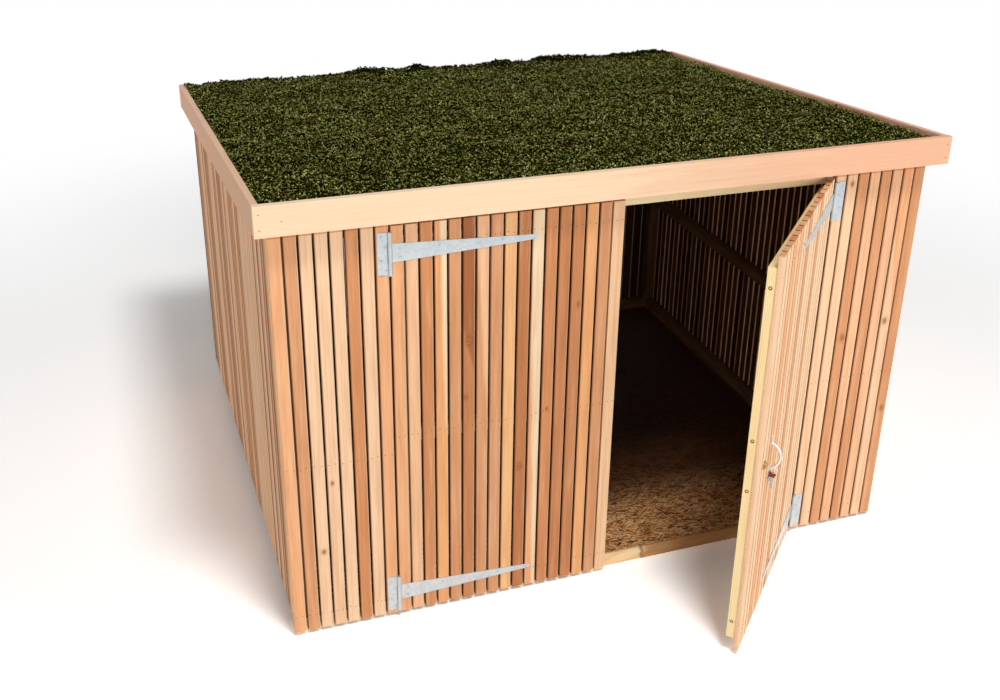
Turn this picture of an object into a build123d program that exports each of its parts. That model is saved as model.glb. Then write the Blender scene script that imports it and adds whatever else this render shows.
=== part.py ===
import os
from build123d import *

os.makedirs("parts", exist_ok=True)

# Outside of the slatted walls
width = 2194.0
depth = 1934.0

# Slats, the gap aimed at between them and the share of each half front that is fixed
slat_wide = 38.0
slat_thick = 18.0
slat_gap_aim = 6.0
slat_ease = 2.5
panel_share = 0.32
slat_low = 14.0
wall_slat_rise = 15.0
slat_head_gap = 8.0

# Wall framing
post_wide = 45.0
rail_tall = 45.0
rail_deep = 34.0
top_rail_tall = 70.0
wall_mid_height = 628.0

# Base and floor
bearer_wide = 45.0
base_tall = 50.0
sill_lip = 8.0
floor_thick = 18.0
joist_wide = 45.0
joist_count = 5

# Doors
door_frame_deep = 26.0
stile_wide = 45.0
stile_inset = 4.0
door_rail_tall = 45.0
door_foot_gap = 10.0
door_head_gap = 12.0
door_slat_lap = 27.0
door_mid_height = 674.0
door_back_gap = 6.0
header_tall = 80.0
open_angle = 46.4

# Roof tray
roof_front_out = 56.0
roof_side_out = 40.0
roof_back_out = 36.0
fascia_thick = 20.0
fascia_tall = 93.0
fascia_top_front = 1510.0
fascia_top_back = 1331.0
mat_below_fascia = 6.0
mat_deep = 39.0
deck_thick = 15.0
back_edge_below = 30.0
rafter_wide = 45.0
rafter_tall = 70.0
rafter_count = 3
rafter_spacing = 480.0

# Tee hinges
axis_stand = 8.0
plate_thick = 3.0
leaf_wide = 37.0
leaf_tall = 132.0
barrel_radius = 6.5
pin_radius = 3.4
pin_clear = 0.1
knuckle_clear = 0.6
pin_head_radius = 5.2
pin_head_tall = 2.5
strap_reach = 462.0
strap_root_tall = 60.0
strap_tip_tall = 15.0
leaf_corner = 3.0
upper_hinge_drop = 44.0
lower_hinge_rise = 34.0

# Bowed pull handle and lock
handle_height = 668.0
bow_chord = 92.0
bow_out = 33.0
bow_radius = 4.5
bow_sides = 12
pad_wide = 16.0
pad_tall = 40.0
pad_thick = 3.0
pad_corner = 5.0
handle_slats_in = 4
lock_slats_in = 2
lock_height = 683.0
lock_radius = 14.0
lock_out = 5.0
plug_radius = 8.5
plug_out = 9.0
keyway_wide = 2.0
keyway_tall = 9.0
keyway_deep = 5.0

# Sizes that follow from the ones above
half_width = width / 2
half_depth = depth / 2
half_slats = round(half_width / (slat_wide + slat_gap_aim))
panel_slats = round(half_slats * panel_share)
door_slats = half_slats - panel_slats
front_slats = 2 * half_slats
slat_gap = (width - front_slats * slat_wide) / (front_slats - 1)
pitch = slat_wide + slat_gap
side_run = depth - 2 * slat_thick
side_slats = round(side_run / (slat_wide + slat_gap_aim))
side_gap = (side_run - side_slats * slat_wide) / (side_slats + 1)
front_face = -half_depth
frame_front = front_face + slat_thick
frame_back = half_depth - slat_thick
frame_half = half_width - slat_thick
opening_front = frame_front + door_back_gap
panel_edge = half_width - panel_slats * pitch + slat_gap
axis_x = panel_edge - slat_gap / 2
axis_y = front_face - axis_stand
roof_front = front_face - roof_front_out
roof_back = half_depth + roof_back_out
roof_half = half_width + roof_side_out
tray_half = roof_half - fascia_thick
roof_fall = (fascia_top_front - fascia_top_back) / (roof_back - roof_front)
deck_top = mat_below_fascia + mat_deep
deck_under = deck_top + deck_thick
wall_slat_low = base_tall + wall_slat_rise
low_corner = (Align.MIN, Align.MIN, Align.MIN)


# A square-cut piece between two corners
def block(x0, x1, y0, y1, z0, z1):
    return Pos(x0, y0, z0) * Box(x1 - x0, y1 - y0, z1 - z0, align=low_corner)


# Height of a line that runs below the tops of the side fascias
def under_roof(y, below):
    return fascia_top_front - roof_fall * (y - roof_front) - below


# A piece drawn side-on, across the width from x0 to x1
def side_on(x0, x1, outline):
    face = Plane.YZ * make_face(Polyline(*outline, close=True))
    return Pos(x0, 0, 0) * extrude(face, x1 - x0)


# A board that lies along the roof slope
def sloped(x0, x1, y0, y1, below_top, below_bottom):
    corners = [
        (y0, under_roof(y0, below_bottom)),
        (y1, under_roof(y1, below_bottom)),
        (y1, under_roof(y1, below_top)),
        (y0, under_roof(y0, below_top)),
    ]
    return side_on(x0, x1, corners)


# A piece that stands level and is bevelled at the top to meet the deck
def bevelled(x0, x1, y0, y1, z0):
    corners = [
        (y0, z0),
        (y1, z0),
        (y1, under_roof(y1, deck_under)),
        (y0, under_roof(y0, deck_under)),
    ]
    return side_on(x0, x1, corners)


# One upright slat with eased edges
def slat(x0, y0, wide, deep, z0, z1):
    outline = [
        (slat_ease, 0),
        (wide - slat_ease, 0),
        (wide, slat_ease),
        (wide, deep - slat_ease),
        (wide - slat_ease, deep),
        (slat_ease, deep),
        (0, deep - slat_ease),
        (0, slat_ease),
    ]
    face = make_face(Polyline(*outline, close=True))
    return Pos(x0, y0, z0) * extrude(face, z1 - z0)


def front_row(first, count, y0, z0, z1):
    places = [-half_width + (first + i) * pitch for i in range(count)]
    return [slat(x, y0, slat_wide, slat_thick, z0, z1) for x in places]


def side_row(x0):
    row = []
    for i in range(side_slats):
        y0 = frame_front + side_gap + i * (slat_wide + side_gap)
        top = under_roof(y0 + slat_wide, deck_under + slat_head_gap)
        row.append(slat(x0, y0, slat_thick, slat_wide, wall_slat_low, top))
    return row


# The same piece on the other side of the shelter
def across(shape):
    return mirror(shape, about=Plane.YZ)


def both(shape):
    return [shape, across(shape)]


def swung(shape):
    return shape.rotate(Axis((axis_x, axis_y, 0), (0, 0, 1)), open_angle)


nodes = {}


def node(name, solids):
    nodes[name] = Compound(solids)


# Base: a front sill rebated for the floor board, side and back bearers, and joists between them
sill_back = opening_front + bearer_wide
floor_front = opening_front + sill_lip
back_bearer_front = frame_back - bearer_wide
floor_half = frame_half - bearer_wide
joist_top = base_tall - floor_thick
joist_step = (back_bearer_front - sill_back - joist_wide) / (joist_count - 1)
joists = []
for i in range(joist_count):
    y0 = sill_back + i * joist_step
    joists.append(block(-floor_half, floor_half, y0, y0 + joist_wide, 0, joist_top))
side_bearer = block(-frame_half, -floor_half, sill_back, frame_back, 0, base_tall)
sill = block(-frame_half, frame_half, opening_front, sill_back, 0, base_tall)
sill -= block(-floor_half, floor_half, floor_front, sill_back, joist_top, base_tall)
node("sill", sill.solids())
node("side_bearers", both(side_bearer))
node("back_bearer", [block(-floor_half, floor_half, back_bearer_front, frame_back, 0, base_tall)])
node("floor_joists", joists)
node("floor_board", [block(-floor_half, floor_half, floor_front, back_bearer_front, joist_top, base_tall)])

# Posts stand on the base and reach the underside of the deck
corner_x = -frame_half + post_wide
front_post = bevelled(-frame_half, corner_x, frame_front, frame_front + post_wide, base_tall)
back_post = bevelled(-frame_half, corner_x, frame_back - post_wide, frame_back, base_tall)
node("corner_posts", both(front_post) + both(back_post))
hinge_post_outer = panel_edge + post_wide
hinge_post = bevelled(panel_edge, hinge_post_outer, frame_front, frame_front + post_wide, base_tall)
node("hinge_posts", both(hinge_post))
header_back = opening_front + rail_deep
header_low = under_roof(opening_front, deck_under + header_tall)
node("header", [bevelled(-panel_edge, panel_edge, opening_front, header_back, header_low)])

# Rails between the posts at the foot, the middle and the head of each wall
foot = (base_tall, base_tall + rail_tall)
middle = (wall_mid_height - rail_tall / 2, wall_mid_height + rail_tall / 2)
front_rail_back = frame_front + rail_deep
front_rails = []
for z0, z1 in (foot, middle):
    rail = block(hinge_post_outer, -corner_x, frame_front, front_rail_back, z0, z1)
    front_rails += both(rail)
front_head = under_roof(frame_front, deck_under + top_rail_tall)
rail = bevelled(hinge_post_outer, -corner_x, frame_front, front_rail_back, front_head)
node("front_rails", front_rails + both(rail))

side_ends = (frame_front + post_wide, frame_back - post_wide)
left_rails = [
    block(-frame_half, -frame_half + rail_deep, *side_ends, *foot),
    block(-frame_half, -frame_half + rail_deep, *side_ends, *middle),
    sloped(-frame_half, -frame_half + rail_deep, *side_ends, deck_under, deck_under + top_rail_tall),
]
node("left_rails", left_rails)
node("right_rails", [across(rail) for rail in left_rails])

back_rail_front = frame_back - rail_deep
back_head = under_roof(back_rail_front, deck_under + rafter_tall)
node(
    "back_rails",
    [
        block(corner_x, -corner_x, back_rail_front, frame_back, *foot),
        block(corner_x, -corner_x, back_rail_front, frame_back, *middle),
        bevelled(corner_x, -corner_x, back_rail_front, frame_back, back_head),
    ],
)

# Slatted faces of the fixed walls
right_first = panel_slats + 2 * door_slats
panel_slat_top = under_roof(frame_front, deck_under + slat_head_gap)
node("left_panel_slats", front_row(0, panel_slats, front_face, slat_low, panel_slat_top))
node("right_panel_slats", front_row(right_first, panel_slats, front_face, slat_low, panel_slat_top))
left_slats = side_row(-half_width)
node("left_wall_slats", left_slats)
node("right_wall_slats", [across(piece) for piece in left_slats])
back_slat_top = under_roof(half_depth, deck_under + slat_head_gap)
node("back_wall_slats", front_row(0, front_slats, frame_back, wall_slat_low, back_slat_top))

# Roof tray: rafters, deck, mat and the boards around it
rafters = []
for i in range(rafter_count):
    middle_x = (i - (rafter_count - 1) / 2) * rafter_spacing
    x0 = middle_x - rafter_wide / 2
    x1 = middle_x + rafter_wide / 2
    rafters.append(sloped(x0, x1, header_back, back_rail_front, deck_under, deck_under + rafter_tall))
node("rafters", rafters)
tray_front = roof_front + fascia_thick
tray_back = roof_back - fascia_thick
node("roof_deck", [sloped(-tray_half, tray_half, tray_front, tray_back, deck_top, deck_under)])
node("sedum_mat", [sloped(-tray_half, tray_half, tray_front, tray_back, mat_below_fascia, deck_top)])
front_board = block(
    -roof_half, roof_half, roof_front, tray_front, fascia_top_front - fascia_tall, fascia_top_front
)
node("front_fascia", [front_board])
left_board = sloped(-roof_half, -tray_half, tray_front, roof_back, 0, fascia_tall)
node("left_fascia", [left_board])
node("right_fascia", [across(left_board)])
node("back_edge", [sloped(-tray_half, tray_half, tray_back, roof_back, back_edge_below, fascia_tall)])

# Tee hinge drawn about its own pin, the door to the right and the slat face behind
face_y = axis_stand
plate_y = axis_stand - plate_thick
half_leaf = leaf_tall / 2
half_root = strap_root_tall / 2
half_tip = strap_tip_tall / 2
knuckle_end = half_root + knuckle_clear


def knuckle(z0, z1):
    return Pos(0, 0, z0) * Cylinder(barrel_radius, z1 - z0, align=(Align.CENTER, Align.CENTER, Align.MIN))


def pin_bore():
    return Cylinder(pin_radius + pin_clear, 2 * leaf_tall)


def hinge_leaf():
    plate = block(-leaf_wide, 0, plate_y, face_y, -half_leaf, half_leaf)
    corners = plate.edges().filter_by(Axis.Y).group_by(Axis.X)[0]
    plate = fillet(corners, leaf_corner)
    room = barrel_radius + 2 * knuckle_clear
    plate -= block(-room, room, -room, 2 * face_y, -knuckle_end, knuckle_end)
    return plate + knuckle(knuckle_end, half_leaf) + knuckle(-half_leaf, -knuckle_end) - pin_bore()


def hinge_strap():
    outline = [
        (0, -half_root),
        (strap_reach - half_tip, -half_tip),
        (strap_reach - half_tip, half_tip),
        (0, half_root),
    ]
    taper = make_face(Polyline(*outline, close=True))
    tip = Pos(strap_reach - half_tip, 0) * Circle(half_tip)
    plate = Pos(0, face_y, 0) * extrude(Plane.XZ * (taper + tip), plate_thick)
    return plate + knuckle(-half_root, half_root) - pin_bore()


def hinge_pin():
    rod = Cylinder(pin_radius, leaf_tall)
    head_z = half_leaf + pin_head_tall / 2
    head = Cylinder(pin_head_radius, pin_head_tall)
    return rod + Pos(0, 0, head_z) * head + Pos(0, 0, -head_z) * head


door_frame_low = base_tall + door_foot_gap
door_frame_top = header_low - door_head_gap
hinge_heights = (door_frame_low + lower_hinge_rise, door_frame_top - upper_hinge_drop)
hinge_places = [Pos(-axis_x, axis_y, z) for z in hinge_heights]
left_leaves = [place * hinge_leaf() for place in hinge_places]
left_pins = [place * hinge_pin() for place in hinge_places]
left_straps = [place * hinge_strap() for place in hinge_places]
node("left_hinge_leaves", left_leaves)
node("right_hinge_leaves", [across(piece) for piece in left_leaves])
node("left_hinge_pins", left_pins)
node("right_hinge_pins", [across(piece) for piece in left_pins])

# Left door, closed: a softwood frame behind its slats
door_left = -half_width + panel_slats * pitch
door_right = door_left + door_slats * pitch - slat_gap
frame_left = door_left + stile_inset
frame_right = door_right - stile_inset
frame_y = (frame_front, frame_front + door_frame_deep)
left_stiles = [
    block(frame_left, frame_left + stile_wide, *frame_y, door_frame_low, door_frame_top),
    block(frame_right - stile_wide, frame_right, *frame_y, door_frame_low, door_frame_top),
]
door_rail_lows = (
    door_frame_low,
    door_mid_height - door_rail_tall / 2,
    door_frame_top - door_rail_tall,
)
left_door_rails = [
    block(frame_left + stile_wide, frame_right - stile_wide, *frame_y, z, z + door_rail_tall)
    for z in door_rail_lows
]
door_slat_top = header_low + door_slat_lap
left_door_slats = front_row(panel_slats, door_slats, front_face, slat_low, door_slat_top)
node("left_door_stiles", left_stiles)
node("left_door_rails", left_door_rails)
node("left_door_slats", left_door_slats)
node("left_door_straps", left_straps)

# Right door, the mirror of the left one, standing open on its pins
node("right_door_stiles", [swung(across(piece)) for piece in left_stiles])
node("right_door_rails", [swung(across(piece)) for piece in left_door_rails])
node("right_door_slats", [swung(across(piece)) for piece in left_door_slats])
node("right_door_straps", [swung(across(piece)) for piece in left_straps])


# Middle of one of the right door's slats, counted in from its free edge
def right_slat_middle(slats_in):
    return -door_right + slats_in * pitch - slat_gap - slat_wide / 2


# Bowed pull handle that ends in two flat pads
handle_x = right_slat_middle(handle_slats_in)
bow_low = handle_height - bow_chord / 2
bow_high = handle_height + bow_chord / 2
handle_path = ThreePointArc(
    (handle_x, front_face, bow_low),
    (handle_x, front_face - bow_out, handle_height),
    (handle_x, front_face, bow_high),
)
start_plane = Plane((handle_x, front_face, bow_low), z_dir=handle_path % 0)
handle = sweep(start_plane * RegularPolygon(bow_radius, bow_sides), path=handle_path)
reach = bow_out + pad_wide
handle &= block(
    handle_x - reach, handle_x + reach, front_face - reach, front_face, bow_low - reach, bow_high + reach
)
pad_shift = pad_tall / 2 - 2 * bow_radius
for z in (bow_low - pad_shift, bow_high + pad_shift):
    pad_plane = Plane((handle_x, front_face, z), x_dir=(1, 0, 0), z_dir=(0, -1, 0))
    handle += extrude(pad_plane * RectangleRounded(pad_wide, pad_tall, pad_corner), pad_thick)
node("pull_handle", [swung(piece) for piece in handle.solids()])

# Round lock with a raised plug and a keyway
lock_plane = Plane((right_slat_middle(lock_slats_in), front_face, lock_height), z_dir=(0, -1, 0))
lock = extrude(lock_plane * Circle(lock_radius), lock_out)
lock += extrude(lock_plane * Circle(plug_radius), plug_out)
keyway_plane = lock_plane.offset(plug_out - keyway_deep)
lock -= extrude(keyway_plane * Rectangle(keyway_wide, keyway_tall), 2 * keyway_deep)
node("lock", [swung(piece) for piece in lock.solids()])

for name, shape in nodes.items():
    export_step(shape, f"parts/{name}.step")
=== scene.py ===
import math

import bpy
import numpy as np
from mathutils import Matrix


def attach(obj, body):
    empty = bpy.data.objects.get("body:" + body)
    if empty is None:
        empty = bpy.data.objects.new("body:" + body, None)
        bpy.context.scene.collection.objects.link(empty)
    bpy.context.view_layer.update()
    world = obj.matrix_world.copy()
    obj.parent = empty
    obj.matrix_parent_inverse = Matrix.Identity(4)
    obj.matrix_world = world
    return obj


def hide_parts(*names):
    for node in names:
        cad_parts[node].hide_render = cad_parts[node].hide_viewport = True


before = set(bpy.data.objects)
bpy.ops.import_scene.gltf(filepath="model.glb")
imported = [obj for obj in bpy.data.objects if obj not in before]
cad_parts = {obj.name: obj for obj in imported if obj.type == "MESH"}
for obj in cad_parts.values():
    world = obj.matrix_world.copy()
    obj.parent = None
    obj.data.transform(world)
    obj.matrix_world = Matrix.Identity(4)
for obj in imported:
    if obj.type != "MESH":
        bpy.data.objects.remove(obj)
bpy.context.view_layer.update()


# Base: a front sill, two side bearers, a back bearer and five joists of planed softwood,
# square cut and screwed together flat on the ground. The floor board lies inside their edges.
def paint(red, green, blue):
    """A colour written as screen values from 0 to 255, as the linear colour that a shader takes."""
    screen = np.array((red, green, blue)) / 255
    light = np.where(screen <= 0.04045, screen / 12.92, ((screen + 0.055) / 1.055) ** 2.4)
    return (*light.tolist(), 1.0)


class Finish:
    """One procedural finish: a material whose pattern is put together node by node."""

    def __init__(self, name, roughness=0.6, metallic=0.0, gloss=0.3):
        self.material = bpy.data.materials.new(name)
        self.material.use_nodes = True
        self.tree = self.material.node_tree
        self.shader = self.tree.nodes["Principled BSDF"]
        self.shader.inputs["Roughness"].default_value = roughness
        self.shader.inputs["Metallic"].default_value = metallic
        self.shader.inputs["Specular IOR Level"].default_value = gloss

    def put(self, kind, feeds, **settings):
        """Adds a node. A feed is a number, a colour, or the output of another node."""
        node = self.tree.nodes.new("ShaderNode" + kind)
        for key, value in settings.items():
            setattr(node, key, value)
        for socket, value in feeds.items():
            if isinstance(value, bpy.types.NodeSocket):
                self.tree.links.new(value, node.inputs[socket])
            else:
                node.inputs[socket].default_value = value
        return node

    def sum(self, operation, *feeds, clamp=False):
        node = self.put("Math", dict(enumerate(feeds)), operation=operation, use_clamp=clamp)
        return node.outputs[0]

    def mix(self, share, one, other, kind="MIX"):
        feeds = {0: share, 6: one, 7: other}
        return self.put("Mix", feeds, data_type="RGBA", blend_type=kind).outputs[2]

    def fade(self, value, low, high):
        """0 below low, 1 above high and an S curve between; low may be above high."""
        feeds = {"Value": value, "From Min": low, "From Max": high}
        return self.put("MapRange", feeds, interpolation_type="SMOOTHSTEP").outputs[0]

    def ramp(self, value, stops, kind="LINEAR"):
        node = self.put("ValToRGB", {0: value})
        node.color_ramp.interpolation = kind
        while len(node.color_ramp.elements) < len(stops):
            node.color_ramp.elements.new(0.5)
        for element, (place, colour) in zip(node.color_ramp.elements, stops):
            element.position = place
            element.color = colour
        return node.outputs[0]

    def place(self, across, deep, along):
        return self.put("CombineXYZ", {0: across, 1: deep, 2: along}).outputs[0]

    def cloud(self, place, size, board=0.0, detail=2.0):
        """Smooth noise about 0.5, with patches as large as size, drawn afresh for each board."""
        feeds = {"Vector": place, "W": board, "Scale": 1 / size, "Detail": detail}
        return self.put("TexNoise", feeds, noise_dimensions="4D").outputs[0]

    def chance(self, board):
        """Three random numbers from 0 to 1 for each board."""
        colour = self.put("TexWhiteNoise", {"W": board}, noise_dimensions="1D").outputs["Color"]
        return self.put("SeparateColor", {0: colour}).outputs

    def axes(self, turn=None):
        """X, Y and Z of a point of the piece, which a Mapping node first turns and shifts."""
        point = self.put("TexCoord", {}).outputs["Object"]
        if turn:
            angle, shift = turn
            feeds = {"Vector": point, "Location": shift, "Rotation": (0, 0, angle)}
            point = self.put("Mapping", feeds).outputs[0]
        return self.put("SeparateXYZ", {0: point}).outputs

    def finish(self, colour, rough=None, height=None, strength=0.2, distance=0.001):
        self.tree.links.new(colour, self.shader.inputs["Base Color"])
        if rough:
            self.tree.links.new(rough, self.shader.inputs["Roughness"])
        if height:
            feeds = {"Height": height, "Strength": strength, "Distance": distance}
            bump = self.put("Bump", feeds).outputs[0]
            self.tree.links.new(bump, self.shader.inputs["Normal"])

    def dress(self, *names):
        for name in names:
            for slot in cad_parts[name].material_slots:
                slot.material = self.material


def sawn_grain(wood, across, deep, along, board, ring=0.0042, lean=0.05, swell=0.0):
    """Grain of a board cut from a log. A ring line is where the distance from the pith, which
    lies somewhere behind the board and leans along it, plus noise, passes a whole number of rings.
    Fibres are fine noise drawn out along the board. Returns late wood, fibre and mottle, 0 to 1."""
    chance = wood.chance(board)
    aside = wood.sum("MULTIPLY_ADD", chance[0], 0.10, -0.05)
    behind = wood.sum("MULTIPLY_ADD", chance[1], 0.06, 0.02)
    slope = wood.sum("MULTIPLY_ADD", chance[2], lean, -lean / 2)
    drift = wood.sum("MULTIPLY_ADD", slope, along, aside)
    slow = wood.place(across, deep, wood.sum("MULTIPLY", along, 0.09))
    wander = wood.cloud(slow, 0.05, board)
    side = wood.sum("ADD", across, drift)
    back = wood.sum("ADD", deep, behind)
    square = wood.sum("MULTIPLY_ADD", side, side, wood.sum("MULTIPLY", back, back))
    reach = wood.sum("MULTIPLY_ADD", wander, 0.014, wood.sum("SQRT", square))
    reach = wood.sum("ADD", reach, swell)
    wave = wood.sum("SINE", wood.sum("MULTIPLY", reach, 2 * math.pi / ring))
    late = wood.fade(wave, 0.1, 1.0)
    fine = wood.place(across, deep, wood.sum("MULTIPLY", along, 0.012))
    fibre = wood.cloud(fine, 0.0014, board, 3.0)
    broad = wood.place(across, deep, wood.sum("MULTIPLY", along, 0.07))
    mottle = wood.cloud(broad, 0.018, board, 3.0)
    return late, fibre, mottle


def softwood(
    name, along, pale_tone=paint(248, 220, 166), deep_tone=paint(240, 205, 146), knot=None
):
    """Softwood timber whose grain runs along one axis. At a spike knot, given by its place along
    the board and its half width, a dark streak crosses the board and the wood turns browner."""
    late_tint, fibre_tint, past_tint = (
        (0.72, 0.56, 0.4, 1), (0.72, 0.58, 0.44, 1), (0.66, 0.48, 0.35, 1)
    )
    wood = Finish(name, gloss=0.2)
    axes = wood.axes()
    others = [axis for axis in range(3) if axis != along]
    across, deep = axes[others[0]], axes[others[1]]
    late, fibre, mottle = sawn_grain(wood, across, deep, axes[along], 2.0 + along)
    pale = wood.mix(wood.fade(mottle, 0.3, 0.7), pale_tone, deep_tone)
    colour = wood.mix(wood.sum("MULTIPLY", late, 0.3), pale, late_tint, "MULTIPLY")
    fibre_share = wood.sum("MULTIPLY", wood.fade(fibre, 0.45, 0.8), 0.4)
    colour = wood.mix(fibre_share, colour, fibre_tint, "MULTIPLY")
    if knot:
        middle, half_wide = knot
        past = wood.sum("SUBTRACT", axes[along], middle + 0.02)
        past = wood.sum("MULTIPLY_ADD", mottle, 0.04, past)
        colour = wood.mix(wood.fade(past, -0.004, 0.012), colour, past_tint, "MULTIPLY")
        leaning = wood.sum("MULTIPLY_ADD", axes[2], 0.15, axes[along])
        leaning = wood.sum("MULTIPLY_ADD", mottle, 0.03, wood.sum("SUBTRACT", leaning, 0.015))
        aside = wood.sum("DIVIDE", wood.sum("SUBTRACT", leaning, middle), half_wide)
        spike = wood.fade(wood.sum("ABSOLUTE", aside), 1.6, 0.2)
        colour = wood.mix(wood.sum("MULTIPLY", spike, 0.75), colour, paint(150, 88, 48))
    rough = wood.sum("MULTIPLY_ADD", fibre, 0.3, 0.5)
    height = wood.sum("MULTIPLY_ADD", late, 0.5, fibre)
    wood.finish(colour, rough, height)
    return wood


sawn_tones = paint(150, 108, 68), paint(118, 82, 50)
sawn_x, sawn_y, sawn_z = (
    softwood("sawn_softwood_" + letter, axis, *sawn_tones) for axis, letter in enumerate("xyz")
)
sawn_x.dress("back_bearer", "floor_joists")
sawn_y.dress("side_bearers")
sill_knot = (0.156, 0.008)
sill_tones = paint(255, 228, 178), paint(252, 212, 158)
softwood("sill_softwood", 0, *sill_tones, knot=sill_knot).dress("sill")


# Floor board: one sheet of strand board let in flush with the bearers. Pressed flakes of wood
# lie over each other at all angles, glossed a little by their glue.
flake_long, flake_wide = 0.03, 0.0042
flake_turns = (5, 24, -16, 60, -38, 12)
# Span across the floor, front to back, past which the board is painted darker: painted shade of the
# inside of the shelter.
inner_shade_from, inner_shade_to = -0.84, -0.5


def strand_board(name, inner_shade=None):
    """Flakes in layers. A layer is stretched cells turned to its own angle, with a random height
    for each cell; at each point the flake that lies highest shows, in its own tone. Given a span
    across the floor, the board is painted darker past it towards the back: painted shade of the
    inside."""
    board = Finish(name, gloss=0.35)
    point = board.put("TexCoord", {}).outputs["Object"]
    top, tone = None, None
    stretch = (1 / flake_long, 1 / flake_wide, 1.0)
    for layer, degrees in enumerate(flake_turns):
        feeds = {"Vector": point, "Rotation": (0, 0, math.radians(degrees))}
        turned = board.put("Mapping", feeds).outputs[0]
        feeds = {"Vector": turned, "Scale": stretch, "Location": (layer * 3.3, layer * 1.7, 0)}
        cells = board.put("Mapping", feeds).outputs[0]
        flake = board.put("TexVoronoi", {"Vector": cells, "Scale": 1.0}, voronoi_dimensions="2D")
        height, shade, _ = board.put("SeparateColor", {0: flake.outputs["Color"]}).outputs
        if top is None:
            top, tone = height, shade
        else:
            above = board.sum("GREATER_THAN", height, top)
            tone = board.put("Mix", {0: above, 2: tone, 3: shade}).outputs[0]
            top = board.sum("MAXIMUM", top, height)
    fibre = board.cloud(point, 0.004, 1.0, 3.0)
    stops = [
        (0.0, paint(40, 14, 4)),
        (0.3, paint(168, 96, 46)),
        (0.55, paint(248, 172, 101)),
        (0.8, paint(255, 211, 148)),
    ]
    inner_shade_tint = (0.12, 0.08, 0.05, 1)
    colour = board.mix(board.fade(fibre, 0.48, 0.72), board.ramp(tone, stops), paint(120, 70, 36))
    # Past the span the flakes are darkened nearly to black: painted shade of the inside.
    if inner_shade:
        inner_shade_share = board.fade(board.put("SeparateXYZ", {0: point}).outputs[1], *inner_shade)
        colour = board.mix(inner_shade_share, colour, inner_shade_tint, "MULTIPLY")
    rough = board.sum("MULTIPLY_ADD", tone, 0.25, 0.4)
    board.finish(colour, rough, board.sum("MULTIPLY_ADD", top, 2.0, fibre), 0.4)
    return board


strand_board("floor_strand_board", inner_shade=(inner_shade_from, inner_shade_to)).dress("floor_board")


# Wall frame: softwood posts at the corners and beside the doors, rails between them at foot,
# middle and head, and a header over the doorway, all square timber screwed through.
# The header's softwood is a paler copy: painted light standing in for the front light it catches
# under the fascia.
softwood("header_softwood", 0, paint(255, 240, 200), paint(253, 226, 178)).dress("header")
sawn_z.dress("corner_posts", "hinge_posts")
sawn_x.dress("front_rails", "back_rails")
sawn_y.dress("left_rails", "right_rails")


# Slats of the fixed walls: planed cedar boards with eased edges, stood upright a finger's gap
# apart and nailed to the rails. Boards come off the saw in tones from cream to deep brown.
slat_wide, slat_pitch = 0.038, 0.044
front_start, front_face = -1.097, -0.967
side_start, side_face = -0.943, -1.097
back_face = 0.967
slat_end = 1.3895
panel_slats, front_slats, side_slats, door_slats = 8, 50, 43, 17
board_step = 1.37
# Spans across a slat for the painted highlight on one eased edge and the painted shade on the
# other, and depths for the painted shade on sides and back: front rows, then side rows.
front_lit_edge, front_shaded_edge, front_sawn_shade = (0.0342, 0.0372), (0.0038, 0.0008), (0.0018, 0.0095)
side_lit_edge, side_shaded_edge, side_sawn_shade = (0.0046, 0.0022), (0.025, 0.036), (0.0172, 0.0178)
cedar_tones = {
    "cream": paint(255, 212, 171),
    "peach": paint(252, 199, 155),
    "pink": paint(255, 210, 166),
    "apricot": paint(248, 184, 134),
    "honey": paint(250, 183, 125),
    "tan": paint(228, 165, 118),
    "brown": paint(222, 152, 102),
    "russet": paint(211, 143, 95),
    "umber": paint(201, 132, 84),
    "gold": paint(255, 198, 140),
    "chestnut": paint(178, 110, 67),
    "sapwood": paint(255, 226, 186),
}


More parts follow.
